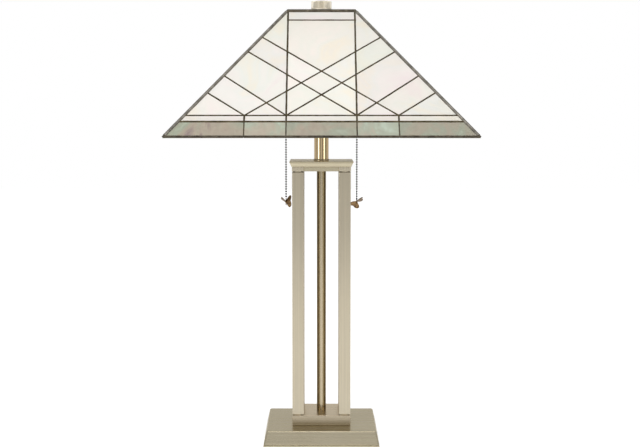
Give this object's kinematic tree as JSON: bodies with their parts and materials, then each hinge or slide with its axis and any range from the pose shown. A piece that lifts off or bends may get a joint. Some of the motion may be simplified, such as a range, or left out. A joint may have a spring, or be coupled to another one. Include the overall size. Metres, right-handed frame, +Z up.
{
  "type": "stained glass table lamp",
  "caption": "Square mission table lamp: leaded opal glass pyramid shade on two brushed uprights and a stepped base, with pull chains.",
  "frame": {"origin": "on the lamp's axis, at the underside of the felt pad that stands on the table", "axes": "+Z up, -Y towards the front, +X to the viewer's right"},
  "size_m": [0.4108, 0.4108, 0.6319],
  "materials": {
    "green_felt": "felt",
    "brushed_nickel": "brushed, warm nickel plate",
    "polished_nickel": "polished, warm nickel plate",
    "cast_iron": "rough casting",
    "black_plastic": "moulded",
    "zinc_steel": "zinc plated",
    "lamp_brass": "satin brass",
    "dark_bronze": "dark antique bronze",
    "frosted_bulb": "frosted",
    "bulb_cap_metal": "rolled thread",
    "opal_glass": "pearly opalescent, lightly rippled",
    "mottled_glass": "mottled grey-green and tan",
    "aged_solder": "dark patina on solder",
    "lead_came": "dark patina on came"
  },
  "bodies": {
    "root": {"felt_pad": "green_felt", "base_plinth": "brushed_nickel", "base_skirt": "brushed_nickel", "base_weight": "cast_iron", "cord_bushing": "black_plastic", "base_washer": "zinc_steel", "base_nut": "zinc_steel", "lamp_rod": "zinc_steel", "pedestal_block": "brushed_nickel", "upright_left": "brushed_nickel", "upright_right": "brushed_nickel", "centre_tube": "polished_nickel", "cap_blocks": "brushed_nickel", "cross_rail": "brushed_nickel", "capital_plate": "brushed_nickel", "neck_ring": "polished_nickel", "neck_tube": "polished_nickel", "cluster_body": "lamp_brass", "arm_nipples": "zinc_steel", "socket_cap_left": "lamp_brass", "socket_cap_right": "lamp_brass", "socket_shell_left": "lamp_brass", "socket_shell_right": "lamp_brass", "socket_insulator_left": "black_plastic", "socket_insulator_right": "black_plastic", "screw_shell_left": "lamp_brass", "screw_shell_right": "lamp_brass", "switch_mouth_left": "lamp_brass", "switch_mouth_right": "lamp_brass", "lamp_leads": "black_plastic", "riser_rod": "zinc_steel", "riser_collar": "zinc_steel"},
    "shade": {"came_net_front": "aged_solder", "came_net_right": "aged_solder", "came_net_back": "aged_solder", "came_net_left": "aged_solder", "field_glass_front": "opal_glass", "field_glass_right": "opal_glass", "field_glass_back": "opal_glass", "field_glass_left": "opal_glass", "border_glass_front": "mottled_glass", "border_glass_right": "mottled_glass", "border_glass_back": "mottled_glass", "border_glass_left": "mottled_glass", "hip_cames": "lead_came", "low_rim": "lead_came", "top_rim": "lead_came", "shade_cap": "lead_came", "finial_washer": "polished_nickel"},
    "finial": {"finial": "polished_nickel"},
    "left_bulb": {"bulb_left": "frosted_bulb", "bulb_cap_left": "bulb_cap_metal"},
    "left_pull": {"pull_chain_left": "dark_bronze"},
    "left_hang": {"hang_chain_left": "dark_bronze", "charm_left": "dark_bronze"},
    "right_bulb": {"bulb_right": "frosted_bulb", "bulb_cap_right": "bulb_cap_metal"},
    "right_pull": {"pull_chain_right": "dark_bronze"},
    "right_hang": {"hang_chain_right": "dark_bronze", "charm_right": "dark_bronze"}
  },
  "joints": [
    {"name": "shade_turn", "type": "hinge", "parent": "root", "child": "shade", "pos_m": [0, 0, 0.6144], "axis": [0, 0, 1], "continuous": true},
    {"name": "finial_turn", "type": "hinge", "parent": "root", "child": "finial", "pos_m": [0, 0, 0.6168], "axis": [0, 0, 1], "continuous": true},
    {"name": "left_bulb_turn", "type": "hinge", "parent": "root", "child": "left_bulb", "pos_m": [-0.065, 0, 0.48], "axis": [-1, 0, 0], "continuous": true},
    {"name": "left_chain_pull", "type": "slide", "parent": "root", "child": "left_pull", "axis": [0, 0, -1], "range_m": [0, 0.01], "stiffness_N_per_m": 1000},
    {"name": "left_chain_swing", "type": "hinge", "parent": "left_pull", "child": "left_hang", "pos_m": [-0.0504, 0, 0.4557], "axis": [1, 0, 0], "range_deg": [-40, 40]},
    {"name": "right_bulb_turn", "type": "hinge", "parent": "root", "child": "right_bulb", "pos_m": [0.065, 0, 0.48], "axis": [1, 0, 0], "continuous": true},
    {"name": "right_chain_pull", "type": "slide", "parent": "root", "child": "right_pull", "axis": [0, 0, -1], "range_m": [0, 0.01], "stiffness_N_per_m": 1000},
    {"name": "right_chain_swing", "type": "hinge", "parent": "right_pull", "child": "right_hang", "pos_m": [0.0504, 0, 0.4557], "axis": [1, 0, 0], "range_deg": [-40, 40]}
  ]
}
